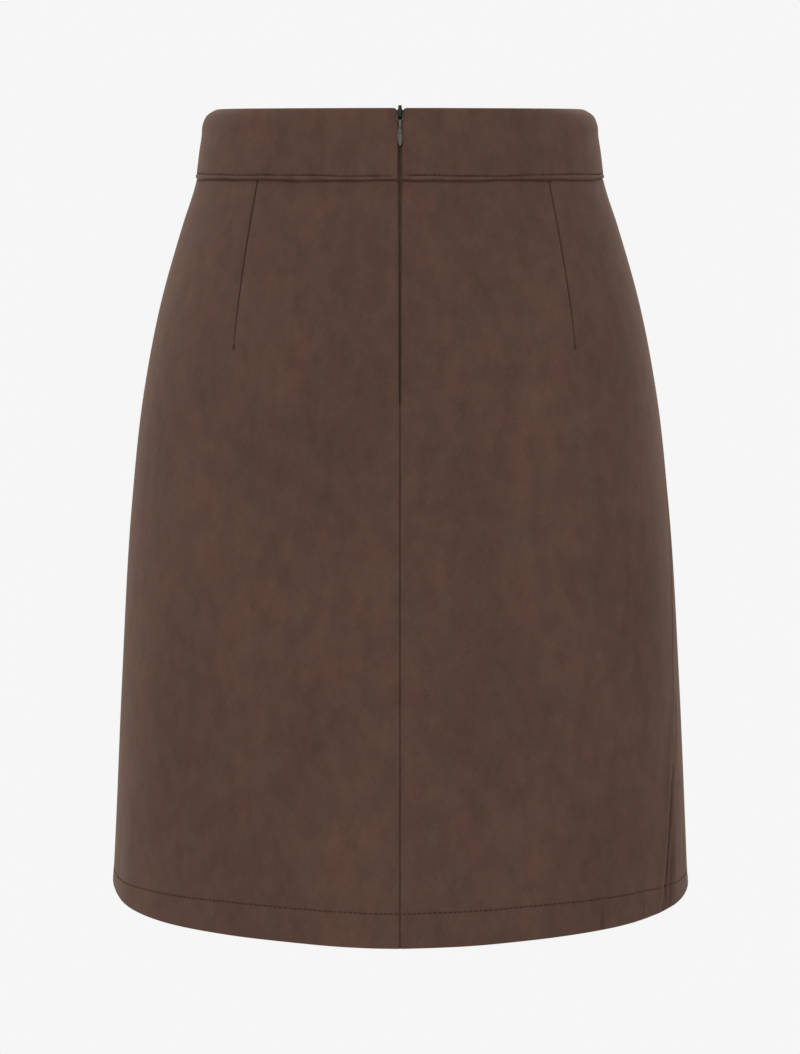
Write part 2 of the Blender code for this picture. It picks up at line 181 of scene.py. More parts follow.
def on_form(angle, z):
    """Points of the filled-out form's surface, at angles round it and heights z."""
    across, along = np.cos(angle), np.sin(angle)
    depth = np.where(along > 0, smooth("back_depth", z), smooth("front_depth", z))
    side = np.abs(across) / smooth("half_width", z)
    reach = (side**SQUARENESS + (np.abs(along) / depth) ** SQUARENESS) ** (-1 / SQUARENESS)
    return np.stack([reach * across, reach * along, z + 0 * angle], axis=-1)


def normals(angle, z):
    across = on_form(angle + STEP, z) - on_form(angle - STEP, z)
    up = on_form(angle, z + STEP) - on_form(angle, z - STEP)
    normal = np.cross(across, up)
    return normal / np.linalg.norm(normal, axis=-1, keepdims=True)


def moved_out(angle, z, lift):
    """The form's points moved along its normal by lift, which is negative inwards."""
    return on_form(angle, z) + normals(angle, z) * np.broadcast_to(lift, angle.shape)[..., None]


def angle_at(x, z, front=False):
    """The angle at which the back, or the front, is x to the side of its centre line."""
    depth = smooth("front_depth" if front else "back_depth", z)
    share = np.abs(x) / smooth("half_width", z)
    y = depth * (1 - share**SQUARENESS) ** (1 / SQUARENESS)
    return np.arctan2(-y, x) + 2 * np.pi if front else np.arctan2(y, x)


def ease(t):
    """0 below 0, 1 above 1 and a smooth change between."""
    t = np.clip(t, 0, 1)
    return t * t * (3 - 2 * t)


def soft(distance, half_width):
    """1 on a line and 0 well away from it."""
    return np.exp(-((distance / half_width) ** 2))


def roll(distance, radius):
    """How far a rolled edge drops, from 0 at radius from the edge to the whole radius on it."""
    inside = np.clip(radius - distance, 0, radius)
    return radius - np.sqrt(radius**2 - inside**2)


def waver(along, *waves):
    """Uneven to and fro along a seam: each wave is a length, a phase and a share."""
    return sum(share * np.sin(2 * np.pi * along / length + phase) for length, phase, share in waves)


def hem(angle):
    """Height of the hem's edge, which dips at the centre back and is cut up a little at the sides."""
    dip = HEM_BACK_DIP * np.maximum(np.sin(angle), 0) ** HEM_DIP_POWER
    return HEM_SIDE - dip + HEM_SIDE_RISE * np.cos(angle) ** HEM_RISE_POWER


def right_seam(z):
    """The right side seam, which runs towards the back as it goes down."""
    share = np.clip((PANEL_TOP - z) / (PANEL_TOP - HEM_SIDE), 0, 1)
    return np.pi - SEAM_LAG * share**SEAM_LAG_POWER


def gap_half(z):
    """Half the opening between the centre-back edges: the zip's gap, then a closed seam."""
    heights, halves = np.array(GAP_ROWS).T * MM
    return np.interp(z, heights, halves)


def waist_seam(angle):
    """How far the waist seam lies above its plain height."""
    return SEAM_RISE + waver(0.105 * angle, *SEAM_WANDER)


def dart_line(side, z):
    """How far out from the centre back a bowed dart lies, and below its end the panel's own line."""
    start, end = DARTS[side]
    down = np.clip((PANEL_TOP - z) / (PANEL_TOP - DART_END), 0, 1)
    spread = smooth("half_width", np.minimum(z, DART_END)) / smooth("half_width", DART_END)
    return (end + (start - end) * (1 - down) ** DART_BOW) * spread


def edge_between(ends, z):
    """A straight edge's distance to the side at heights z, from its ends at waist and hem."""
    share = (PANEL_TOP - z) / (PANEL_TOP - HEM_SIDE)
    return ends[0] + (ends[1] - ends[0]) * share


def pace(angle, z):
    """Metres along the form for each radian round it."""
    ahead = on_form(angle + STEP, z) - on_form(angle - STEP, z)
    return np.linalg.norm(ahead, axis=-1) / (2 * STEP)


def crease_line(crease, z):
    """How far down a crease heights z are, and the angle of its middle there."""
    share = (crease["top"] * MM - z) / ((crease["top"] - crease["low"]) * MM)
    return share, np.radians(crease["top_angle"] + (crease["low_angle"] - crease["top_angle"]) * share)


def creased(angle, z):
    """The cloth's creases and ridges, as a lift."""
    turn = pace(angle, z)
    lift = 0 * z
    for crease in CREASES:
        share, middle = crease_line(crease, z)
        shape = soft((angle - middle) * turn, crease["half_width"] * MM)
        lift = lift + crease["rise"] * MM * shape * ease(share / 0.4) * ease((1 - share) / 0.25)
    return lift


def drape(angle, z):
    """The cloth's creases, nearly gone at the hem's folded edge, and its long waves, as a lift."""
    down = np.clip((PANEL_TOP - z) / (PANEL_TOP - HEM_SIDE), 0, 1)
    lift = creased(angle, z) * (0.15 + 0.85 * ease((z - hem(angle)) / (16 * MM)))
    for round_count, fall, phase, rise in WAVE_ROWS:
        wave = np.sin(round_count * angle + 2 * np.pi * z / (fall * MM) + phase)
        lift = lift + rise * MM * wave * down**0.7
    return lift


def line_drop(angle):
    """How far the hem's stitches come down towards its edge, near the side seams."""
    return LINE_DROP * np.cos(angle) ** 4 + HEM_SIDE_RISE * np.cos(angle) ** HEM_RISE_POWER


def band_line(angle):
    """The waistband's row of stitches: its heights, and lifts just inside its groove."""
    z = BAND_LINE + 0 * angle
    along = 0.105 * angle
    z = z + waver(along, *BAND_WANDER)
    heavy = soft(angle - angle_at(-13 * MM, np.array(BAND_LINE)), 0.13)
    shown = waver(along, (0.023, 0.7, 0.07 * MM), (0.057, 2.2, 0.07 * MM)) + 0.1 * MM * heavy
    return z, BAND_PROUD - 0.26 * MM + shown


def tape_offset(z):
    """How far in from the form the zip's tapes lie: further behind the waistband."""
    return 1.6 * MM + 0.7 * MM * np.clip((z + 29 * MM) / (6 * MM), 0, 1)


def pull_axis():
    return Vector(frame["joints"][0]["pos_m"])


def pull_lean():
    """The waistband's own slope, which the pull lies along."""
    ends = smooth("back_depth", np.array([AXIS_HEIGHT, 0.0]))
    return math.atan2(ends[1] - ends[0], AXIS_HEIGHT)


# Mesh helpers.


def select_none():
    if bpy.context.mode != "OBJECT":
        bpy.ops.object.mode_set(mode="OBJECT")
    bpy.ops.object.select_all(action="DESELECT")


def select_only(*objects):
    select_none()
    for obj in objects:
        obj.select_set(True)
    bpy.context.view_layer.objects.active = objects[0]


def cloth_mesh(name, outer, inner, cut, shade_and_highlight, finish, sharp=50):
    """A closed sheet of cloth between two matching grids of points.

    Rows run down and columns anticlockwise. cut gives each point's place on the flat cloth as its UV,
    and the next grid holds painted highlight (above 0) on crests and folded edges and painted shade
    (below 0) in seams and creases.
    """
    rows, columns = outer.shape[:2]
    index = np.arange(rows * columns).reshape(rows, columns)
    back = index + rows * columns
    a, b, c, d = index[:-1, :-1], index[1:, :-1], index[1:, 1:], index[:-1, 1:]
    skin = np.stack([a, b, c, d], -1).reshape(-1, 4)
    faces = [skin, skin[:, ::-1] + rows * columns]
    faces.append(np.stack([index[0, :-1], index[0, 1:], back[0, 1:], back[0, :-1]], -1))
    faces.append(np.stack([index[-1, 1:], index[-1, :-1], back[-1, :-1], back[-1, 1:]], -1))
    faces.append(np.stack([index[:-1, 0], back[:-1, 0], back[1:, 0], index[1:, 0]], -1))
    faces.append(np.stack([index[1:, -1], back[1:, -1], back[:-1, -1], index[:-1, -1]], -1))
    faces = np.concatenate(faces)
    points = np.concatenate([outer.reshape(-1, 3), inner.reshape(-1, 3)])
    mesh = bpy.data.meshes.new(name)
    mesh.from_pydata(points.tolist(), [], faces.tolist())
    flat = np.concatenate([cut.reshape(-1, 2)] * 2)
    mesh.uv_layers.new(name="cut").data.foreach_set("uv", flat[faces.ravel()].ravel())
    # Painted highlight on crests and folded edges, and painted shade in seams, stitch grooves and
    # creases.
    painted_tone = mesh.attributes.new("shade_and_highlight", "FLOAT", "POINT")
    painted_tone.data.foreach_set("value", np.concatenate([shade_and_highlight.ravel(), 0 * shade_and_highlight.ravel()]))
    obj = bpy.data.objects.new(name, mesh)
    bpy.context.scene.collection.objects.link(obj)
    mesh.materials.append(finish)
    select_only(obj)
    bpy.ops.object.mode_set(mode="EDIT")
    bpy.ops.mesh.select_all(action="SELECT")
    bpy.ops.mesh.remove_doubles(threshold=0.00002)
    bpy.ops.object.mode_set(mode="OBJECT")
    bpy.ops.object.shade_smooth_by_angle(angle=math.radians(sharp))
    return obj


def add_primitive(kind, name, **settings):
    """Adds a primitive with nothing else selected, and opens it for editing with all of it selected."""
    select_none()
    getattr(bpy.ops.mesh, f"primitive_{kind}_add")(**settings)
    obj = bpy.context.object
    obj.name = obj.data.name = name
    return obj


def edit_faces(obj, wanted):
    """Opens obj for editing with only the faces for which wanted(centre, normal) holds selected."""
    select_only(obj)
    bpy.ops.object.mode_set(mode="EDIT")
    bpy.ops.mesh.select_mode(type="FACE")
    bpy.ops.mesh.select_all(action="DESELECT")
    bpy.ops.object.mode_set(mode="OBJECT")
    for face in obj.data.polygons:
        face.select = bool(wanted(face.center, face.normal))
    bpy.ops.object.mode_set(mode="EDIT")


def shape(obj, change):
    """Moves each of a mesh's vertices to change(x, y, z)."""
    bpy.ops.object.mode_set(mode="OBJECT")
    for vertex in obj.data.vertices:
        vertex.co = change(*vertex.co)


def apply_modifier(obj, kind, **settings):
    select_only(obj)
    made = obj.modifiers.new(kind.lower(), kind)
    for name, value in settings.items():
        setattr(made, name, value)
    bpy.ops.object.modifier_apply(modifier=made.name)


def unite(obj, *others):
    """Joins closed meshes into one skin."""
    for other in others:
        apply_modifier(obj, "BOOLEAN", operation="UNION", object=other)
        bpy.data.objects.remove(other)


def settle(obj, place, finish, body, slot, *nodes):
    """Puts a finished piece's place in its mesh, gives it its finish and lets it ride and replace."""
    obj.data.transform(place)
    obj.matrix_world = Matrix.Identity(4)
    obj.data.materials.clear()
    obj.data.materials.append(finish)
    select_only(obj)
    bpy.ops.object.shade_smooth_by_angle(angle=math.radians(38))
    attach(obj, body)
    if nodes:
        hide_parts(*nodes)
    return obj


def repeated(name, pattern, places, finish, body="skirt"):
    """Many copies of one small mesh as one piece: places are an origin and three axes for each copy."""
    points = np.array([vertex.co for vertex in pattern.data.vertices])
    corners = [np.array(face.vertices) for face in pattern.data.polygons]
    made, faces = [], []
    for origin, axes in places:
        faces += [(corner + len(made) * len(points)).tolist() for corner in corners]
        made.append(origin + points @ axes)
    mesh = bpy.data.meshes.new(name)
    mesh.from_pydata(np.concatenate(made).tolist(), [], faces)
    mesh.shade_smooth()
    mesh.materials.append(finish)
    obj = bpy.data.objects.new(name, mesh)
    bpy.context.scene.collection.objects.link(obj)
    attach(obj, body)
    return obj


def stitch_pattern(length):
    """One stitch along X: a thread that dips into the cloth at both its ends."""
    radius = scene_value("seams", "thread") / 2
    stitch = add_primitive("uv_sphere", "stitch", segments=8, ring_count=6, radius=1)
    shape(stitch, lambda x, y, z: (z * length / 2, y * radius, x * radius - 0.8 * radius * z**4))
    return stitch


def point_along(path, gone, at):
    """The point that lies a distance along a path; gone is the distance of each of its points."""
    return np.array([np.interp(at, gone, path[:, i]) for i in range(3)])


def stitch_places(angle, z, lift, pitch, seed):
    """Where each stitch of a run goes, along a line given as angles, heights and lifts."""
    line = moved_out(angle, z, lift)
    out = normals(angle, z)
    gone = np.concatenate([[0], np.cumsum(np.linalg.norm(np.diff(line, axis=0), axis=1))])
    uneven = np.random.default_rng(seed)
    count = int(gone[-1] / pitch)
    places = []
    for k in range(count):
        at = (k + 0.5) * gone[-1] / count
        ends = [point_along(line, gone, at + step) for step in (-pitch / 3, pitch / 3)]
        normal = point_along(out, gone, at)
        ahead = ends[1] - ends[0]
        ahead /= np.linalg.norm(ahead)
        across = np.cross(normal, ahead)
        ahead = ahead + across * uneven.normal(0, STITCH_SLANT)
        ahead = ahead / np.linalg.norm(ahead) * uneven.uniform(*STITCH_STRETCH)
        normal = normal - ahead * (normal @ ahead) / (ahead @ ahead)
        normal /= np.linalg.norm(normal)
        places.append(((ends[0] + ends[1]) / 2, np.array([ahead, np.cross(normal, ahead), normal])))
    return places


def graded(length):
    """Shares along a stretch of cloth, close together near both its ends and GRID apart between."""
    near = EDGE_STEPS / length
    count = max(2, round(length * (1 - 2 * near[-1]) / GRID))
    middle = np.linspace(near[-1], 1 - near[-1], count + 1)[1:-1]
    return np.concatenate([near, middle, 1 - near[::-1]])


def crease_shares(first, second, length):
    """Extra shares between two angles, close together round the creases that lie between them."""
    level = np.array(HEM_SIDE)
    beside = np.array([-3.6, -2.6, -1.8, -1.2, -0.6, 0, 0.6, 1.2, 1.8, 2.6, 3.6]) * MM
    found = [np.zeros(0)]
    for crease in CREASES:
        middle = crease_line(crease, level)[1]
        at = (middle - first) / (second - first)
        if 6 * MM < at * length < length - 6 * MM:
            found.append(at + beside / length)
    return np.concatenate(found)


def panel_rows():
    """Row heights from the waist seam to the hem's edge, close together at its edges and stitches."""
    stitched = HEM_SIDE + scene_value("seams", "hem_line")
    raw_edge = stitched + HEM_TURNED
    close = np.array([0, 0.15, 0.4, 0.7, 1.1, 1.7, 2.6]) * MM
    rows = [
        [PANEL_TOP + BEHIND_BAND],
        PANEL_TOP - EDGE_STEPS,
        np.linspace(PANEL_TOP - EDGE_STEPS[-1], stitched + 6 * MM, 174)[1:],
        stitched + close,
        stitched - close,
        [raw_edge, raw_edge + 0.3 * MM],
        np.linspace(stitched - close[-1], HEM_SIDE + EDGE_STEPS[-1], 7),
        HEM_SIDE + EDGE_STEPS,
    ]
    return np.unique(np.round(np.concatenate(rows), 6))[::-1, None]


def scene_value(group, name):
    return getattr(getattr(bpy.context.scene, f"skirt_{group}"), name)


def closing(distance, radius):
    """Share of a wall's thickness left near an edge where its two faces meet."""
    inside = 1 - np.clip(distance / radius, 0, 1)
    return np.sqrt(1 - inside**2)


def gone_along(base):
    """How far along its row each point of a grid is."""
    gone = np.linalg.norm(np.diff(base, axis=1), axis=-1)
    return np.concatenate([np.zeros((len(base), 1)), np.cumsum(gone, axis=1)], axis=1)


def sheet_between(name, angle, z, outer, inner, shut, cut, shade_and_highlight, finish):
    """A closed sheet between two lifts, whose faces meet where shut falls to 0."""
    middle, half = (outer + inner) / 2, (outer - inner) / 2 * shut
    faces = moved_out(angle, z, middle + half), moved_out(angle, z, middle - half)
    return cloth_mesh(name, *faces, cut, shade_and_highlight, finish)


def panel_columns(keys):
    """A panel's columns: their shares along it, the weight of each key's angle there, and its width."""
    level = np.array(HEM_SIDE)
    ends = [key(level) for key in keys]
    lengths = [float(abs(b - a) * pace((a + b) / 2, level)) for a, b in zip(ends, ends[1:])]
    shares = [k + graded(length) for k, length in enumerate(lengths)]
    for k, length in enumerate(lengths):
        shares.append(k + crease_shares(ends[k], ends[k + 1], length))
    at = np.unique(np.round(np.concatenate(shares), 7))
    weights = np.maximum(1 - np.abs(at - np.arange(len(keys))[:, None]), 0)
    return at, weights, sum(lengths)


def panel_heights(rows, at_hem, edge):
    """Heights of a panel's points: level rows, which follow the hem's edge further down."""
    follow = np.clip((FREE_ROW - rows) / (FREE_ROW - HEM_SIDE - HEM_FIXED), 0, 1)
    lowered = np.interp(rows - HEM_SIDE, np.array([0, 15, 24, 80]) * MM, (0, 1, 1, 0))
    return rows + (edge - HEM_SIDE) * follow - line_drop(at_hem) * lowered


def tucked(angle):
    """How far the lower front has gone behind the lap, as a share."""
    return ease((UNDER_MERGE[1] - angle) / (UNDER_MERGE[1] - UNDER_MERGE[0]))


def free_edge(distance, thickness):
    """A turned and stitched free edge: what it adds to the outer face, and to the painted highlight and
    shade.
    """
    stitched = distance - scene_value("seams", "lap_line")
    raised = 0.9 * thickness * ease((LAP_TURNED + 0.5 * MM - distance) / (1 * MM))
    outer = raised - 0.35 * MM * soft(stitched, 0.8 * MM)
    # Painted highlight along the folded edge, and painted shade along its stitches.
    shade_and_highlight = 0.5 * soft(distance, 1.2 * MM) - 0.3 * soft(stitched, 0.7 * MM)
    return outer, shade_and_highlight


def seam_edge(distance, z, thickness, zipped):
    """An edge rolled in to its seam: what it adds to the outer face, to the inner one, and to the
    painted shade.

    Its allowance is pressed open inside, and along the zip it starts below the zip's tapes.
    """
    outer = 0.2 * MM * soft(distance - 2.4 * MM, 1.6 * MM) - roll(distance, SEAM_ROLL)
    allowance = ease((ALLOWANCE - distance) / (0.5 * MM))
    if zipped:
        allowance = allowance * ease((ZIP_END - 18 * MM - z) / (3 * MM))
    # The third value is painted shade along the seam's groove.
    return outer, -0.9 * thickness * allowance, -0.5 * soft(distance, 0.6 * MM)


def dart_fold(distance, z, thickness):
    """A sewn dart that fades out: what it adds to the outer face, the inner one, and the painted shade
    along its fold with a darker spot at its end.
    """
    sewn = z > DART_END - 1.5 * MM
    deep = np.where(sewn, ease((z - DART_END + 1.5 * MM) / (45 * MM)) ** 0.3, 0)
    crease = 0.75 * soft(distance, 0.35 * MM) + 0.45 * soft(distance, 2.6 * MM)
    outer = (0.15 * soft(distance - 6 * MM, 3 * MM) - crease) * MM * deep
    inner = -0.9 * thickness * deep * ease((6.5 * MM - distance) / (0.5 * MM))
    knot = soft(z - DART_END, 1.1 * MM) * soft(distance, 1.1 * MM)
    # Painted shade along the dart's fold, and a darker spot round its end.
    return outer, inner, -0.8 * soft(distance, 0.5 * MM) * sewn - 0.9 * knot


def panel_cloth(name, keys, kinds, finish, darted=False, rise=None, tuck=None):
    """One skirt panel: keys are the angles of its side edges, with a dart's line between them.

    kinds says of each side edge if it is a seam, the zip's edge, free or raw; rise lifts the hem's edge
    and tuck moves the cloth behind a lap.
    """
    thickness = scene_value("cloth", "thickness")
    at, weights, width = panel_columns(keys)

    def angles(z):
        return sum(weight * key(z) for weight, key in zip(weights, keys))

    at_hem = angles(HEM_SIDE + 0 * at)
    edge = hem(at_hem)
    if rise is not None:
        share = at / (len(keys) - 1)
        edge = edge + rise(at_hem, (share * width, (1 - share) * width))
    rows = panel_rows()
    seam_shift = waist_seam(angles(rows)) * ease(1 - (PANEL_TOP - rows) / (16 * MM))
    z = panel_heights(rows, at_hem, edge) + seam_shift
    angle = angles(z)
    along = gone_along(on_form(angle, z))
    above_hem = z - edge
    below_top = PANEL_TOP + seam_shift - z
    line = above_hem - scene_value("seams", "hem_line") + line_drop(at_hem)
    turned_up = line < HEM_TURNED + 0.05 * MM

    body = drape(angle, z) if tuck is None else drape(angle, z) * 0.6 - tuck(angle)
    outer = body + 0.22 * MM * ease((-1.2 * MM - line) / (4 * MM)) - 0.28 * MM * soft(line, 0.8 * MM)
    outer = outer - 0.75 * roll(below_top, TOP_SEAM_ROLL)
    inner = body - thickness - np.where(turned_up, thickness, 0)
    # Painted shade in the creases' troughs, along the hem's stitches and just under the waist seam.
    shade_and_highlight = 0.7 * np.minimum(creased(angle, z) / MM, 0)
    shade_and_highlight = shade_and_highlight - 0.3 * soft(line, 0.6 * MM) - 0.7 * soft(below_top, 0.9 * MM)
    shut = closing(above_hem, thickness)
    for distance, kind in zip((along, along[:, -1:] - along), kinds):
        if kind == "free":
            added, painted_tone = free_edge(distance, thickness)
            outer, shade_and_highlight = outer + added, shade_and_highlight + painted_tone
            shut = shut * closing(distance, thickness)
        elif kind == "raw":
            shut = shut * closing(distance, 0.5 * thickness)
        else:
            added, behind, sunk = seam_edge(distance, z, thickness, kind == "zip")
            outer, inner, shade_and_highlight = outer + added, inner + behind * ~turned_up, shade_and_highlight + sunk
    if darted:
        column = int(np.argmin(np.abs(at - 1)))
        added, behind, sunk = dart_fold(np.abs(along - along[:, column : column + 1]), z, thickness)
        outer, inner, shade_and_highlight = outer + added, inner + behind, shade_and_highlight + sunk
    outer = np.maximum(outer, inner + 0.1 * MM)
    cut = np.stack([along, z - PANEL_TOP], axis=-1)
    return sheet_between(name, angle, z, outer, inner, shut, cut, shade_and_highlight, finish)


# Materials.


def hang(piece, node):
    """Puts a skirt panel on the skirt's body and hides the node that it replaces."""
    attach(piece, "skirt")
    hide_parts(node)


def new_material(name):
    made = bpy.data.materials.new(name)
    made.use_nodes = True
    nodes = made.node_tree.nodes
    return made, nodes, made.node_tree.links, nodes["Principled BSDF"]


def texture(nodes, links, kind, vector, **settings):
    node = nodes.new(kind)
    for name, value in settings.items():
        node.inputs[name].default_value = value
    links.new(vector, node.inputs["Vector"])
    return node


def noise(nodes, links, vector, **settings):
    """A noise's value."""
    return texture(nodes, links, "ShaderNodeTexNoise", vector, **settings).outputs["Fac"]


def ramp(nodes, links, factor, *stops):
    """A colour ramp through (place, colour) stops."""
    node = nodes.new("ShaderNodeValToRGB")
    elements = node.color_ramp.elements
    while len(elements) < len(stops):
        elements.new(0.5)
    for element, (place, colour) in zip(elements, stops):
        element.position = place
        element.color = (*colour, 1.0) if hasattr(colour, "__len__") else (colour, colour, colour, 1.0)
    links.new(factor, node.inputs["Fac"])
    return node.outputs["Color"]


def shaded(nodes, links, factor, colour, low, high):
    """A colour that runs from darker to lighter."""
    stops = (0.3, np.multiply(colour, low)), (0.7, np.multiply(colour, high))
    return ramp(nodes, links, factor, *stops)


def multiplied(nodes, links, first, second):
    """Two colours multiplied."""
    node = nodes.new("ShaderNodeMix")
    node.data_type, node.blend_type = "RGBA", "MULTIPLY"
    node.inputs[0].default_value = 1.0
    links.new(first, node.inputs[6])
    links.new(second, node.inputs[7])
    return node.outputs[2]


def set_inputs(shader, links, **values):
    """Sets a shader's inputs, named with _ for a space, to sockets or values."""
    for name, value in values.items():
        socket = shader.inputs[name.replace("_", " ")]
        if isinstance(value, bpy.types.NodeSocket):
            links.new(value, socket)
        else:
            socket.default_value = value


def stretched(nodes, links, source, scale):
    node = nodes.new("ShaderNodeMapping")
    node.inputs["Scale"].default_value = scale
    links.new(source, node.inputs["Vector"])
    return node.outputs["Vector"]


def bump(nodes, links, height, distance, strength, normal=None):
    node = nodes.new("ShaderNodeBump")
    node.inputs["Distance"].default_value = distance
    node.inputs["Strength"].default_value = strength
    links.new(height, node.inputs["Height"])
    if normal is not None:
        links.new(normal, node.inputs["Normal"])
    return node.outputs["Normal"]


def suedette(name, warm, olive):
    """Brushed suedette: a mottled nap in two browns, with specks, painted highlight on crests and folded
    edges and painted shade in seams and creases.
    """
    cloth = bpy.context.scene.skirt_cloth
    made, nodes, links, shader = new_material(name)
    place = nodes.new("ShaderNodeTexCoord").outputs["Object"]
    tall = stretched(nodes, links, place, (1.0, 1.0, 0.62))
    blotch = noise(nodes, links, tall, Scale=60.0, Detail=3.0, Roughness=0.55)
    cloud = noise(nodes, links, tall, Scale=14.0, Detail=3.0, Roughness=0.5)
    mottle = noise(nodes, links, tall, Scale=105.0, Detail=4.0, Roughness=0.6)
    nap = noise(nodes, links, place, Scale=420.0, Detail=3.0, Roughness=0.6)
    grain = noise(nodes, links, place, Scale=1700.0, Detail=2.0, Roughness=0.6)
    colour = ramp(nodes, links, blotch, (0.36, warm), (0.64, olive))
    shades = (
        (cloud, (0.35, 0.9), (0.65, 1.07)),
        (mottle, (0.3, 0.87), (0.7, 1.12)),
        (nap, (0.24, 0.8), (0.32, 0.96), (0.7, 1.04)),
        (grain, (0.3, 0.88), (0.7, 1.1)),
    )
    for value, *stops in shades:
        colour = multiplied(nodes, links, colour, ramp(nodes, links, value, *stops))
    painted_tone = nodes.new("ShaderNodeAttribute")
    painted_tone.attribute_name = "shade_and_highlight"
    # Lighter where the point attribute is above 0: painted highlight.
    sunk = ramp(nodes, links, painted_tone.outputs["Fac"], (0.0, 1.0), (1.0, 1.25))
    colour = multiplied(nodes, links, colour, sunk)
    # Darker and redder where the point attribute is below 0: painted shade.
    deep = nodes.new("ShaderNodeMath")
    deep.operation = "MULTIPLY"
    deep.inputs[1].default_value = -1.0
    links.new(painted_tone.outputs["Fac"], deep.inputs[0])
    dark = ramp(nodes, links, deep.outputs[0], (0.0, 1.0), (1.0, (0.5, 0.38, 0.34)))
    colour = multiplied(nodes, links, colour, dark)
    normal = bump(nodes, links, blotch, 0.0012, 0.25)
    normal = bump(nodes, links, nap, 0.0004, 0.3, normal)
    set_inputs(
        shader, links, Base_Color=colour, Roughness=ramp(nodes, links, nap, (0.3, 0.84), (0.7, 0.97)),
        Specular_IOR_Level=0.25, Sheen_Weight=cloth.sheen, Sheen_Roughness=0.42,
        Sheen_Tint=(0.62, 0.44, 0.33, 1.0), Normal=bump(nodes, links, grain, 0.0002, 0.35, normal),
    )
    return made


def thread(name, colour):
    """Twisted polyester thread."""
    made, nodes, links, shader = new_material(name)
    place = nodes.new("ShaderNodeTexCoord").outputs["Object"]
    fuzz = noise(nodes, links, place, Scale=3200.0, Detail=2.0)
    set_inputs(
        shader, links, Base_Color=shaded(nodes, links, fuzz, colour, 0.7, 1.35), Roughness=0.7,
        Specular_IOR_Level=0.25, Sheen_Weight=0.05, Normal=bump(nodes, links, fuzz, 0.0001, 0.6),
    )
    return made


def woven_tape(name, colour):
    """Close herringbone-woven tape: its cut runs along U and its length along V."""
    made, nodes, links, shader = new_material(name)
    flat = nodes.new("ShaderNodeUVMap")
    flat.uv_map = "cut"
    ribs = texture(nodes, links, "ShaderNodeTexWave", flat.outputs["UV"], Scale=620.0, Distortion=0.6)
    ribs.wave_type, ribs.bands_direction = "BANDS", "Y"
    warp = texture(nodes, links, "ShaderNodeTexWave", flat.outputs["UV"], Scale=480.0, Distortion=0.4)
    warp.wave_type, warp.bands_direction = "BANDS", "X"
    weave = multiplied(nodes, links, ribs.outputs["Color"], warp.outputs["Color"])
    stops = (0.0, np.multiply(colour, 0.72)), (0.8, np.multiply(colour, 1.25))
    place = nodes.new("ShaderNodeTexCoord").outputs["Object"]
    dust = noise(nodes, links, place, Scale=240.0, Detail=3.0)
    shade = ramp(nodes, links, dust, (0.3, 0.85), (0.7, 1.12))
    set_inputs(
        shader, links, Base_Color=multiplied(nodes, links, ramp(nodes, links, weave, *stops), shade),
        Roughness=0.9, Specular_IOR_Level=0.2, Sheen_Weight=0.05,
        Normal=bump(nodes, links, weave, 0.0002, 0.7),
    )
    return made


def nylon(name, colour):
    """Smooth nylon monofilament."""
    made, nodes, links, shader = new_material(name)
    place = nodes.new("ShaderNodeTexCoord").outputs["Object"]
    haze = noise(nodes, links, place, Scale=900.0, Detail=2.0)
    set_inputs(
        shader, links, Base_Color=shaded(nodes, links, haze, colour, 0.85, 1.15), Coat_Weight=0.15,
        Roughness=ramp(nodes, links, haze, (0.3, 0.34), (0.7, 0.5)),
        Normal=bump(nodes, links, haze, 0.00008, 0.4),
    )
    return made


def cast_metal(name, colour, roughness, metallic):
    """Die-cast metal under a thin dark finish, with fine pits and a little rubbing."""
    made, nodes, links, shader = new_material(name)
    place = nodes.new("ShaderNodeTexCoord").outputs["Object"]
    pits = noise(nodes, links, place, Scale=1500.0, Detail=3.0)
    smear = noise(nodes, links, place, Scale=330.0, Detail=3.0)
    set_inputs(
        shader, links, Base_Color=shaded(nodes, links, smear, colour, 0.78, 1.22), Metallic=metallic,
        Roughness=ramp(nodes, links, smear, (0.3, roughness - 0.08), (0.7, roughness + 0.1)),
        Normal=bump(nodes, links, pits, 0.00006, 0.5),
    )
    return made


def skirt_suedette():
    made = bpy.data.materials.get("brushed_suedette_nap")
    cloth = bpy.context.scene.skirt_cloth
    return made or suedette("brushed_suedette_nap", cloth.warm, cloth.olive)


# Settings.


class SkirtCloth(bpy.types.PropertyGroup):
    """The suedette."""

    thickness: bpy.props.FloatProperty(
        name="Thickness", description="Thickness of one layer of cloth",
        default=1.1 * MM, unit="LENGTH", precision=4
    )
    warm: bpy.props.FloatVectorProperty(
        name="Warm brown", description="The redder of the nap's two browns",
        default=(0.126, 0.064, 0.0455),
        subtype="COLOR", size=3,
    )
    olive: bpy.props.FloatVectorProperty(
        name="Olive brown", description="The greener of the nap's two browns",
        default=(0.1165, 0.066, 0.047),
        subtype="COLOR", size=3,
    )
    sheen: bpy.props.FloatProperty(
        name="Sheen", description="How much the nap lights up seen from the side",
        default=0.3, min=0, max=1,
        subtype="FACTOR",
    )


class SkirtSeams(bpy.types.PropertyGroup):
    """Stitch lines and threads."""

    hem_line: bpy.props.FloatProperty(
        name="Hem line", description="Height of the hem's stitches above its edge",
        default=21 * MM, unit="LENGTH"
    )
    lap_line: bpy.props.FloatProperty(
        name="Lap line", description="Distance of the lap's stitches from its edge",
        default=7 * MM, unit="LENGTH"
    )
    pitch: bpy.props.FloatProperty(
        name="Stitch pitch", description="From one stitch to the next",
        default=3 * MM, unit="LENGTH", precision=4
    )
    thread: bpy.props.FloatProperty(
        name="Thread", description="Thickness of the sewing thread",
        default=0.5 * MM, unit="LENGTH", precision=5
    )
    thread_colour: bpy.props.FloatVectorProperty(
        name="Thread colour", description="Colour of the sewing thread",
        default=(0.034, 0.0135, 0.009),
        subtype="COLOR", size=3,
    )


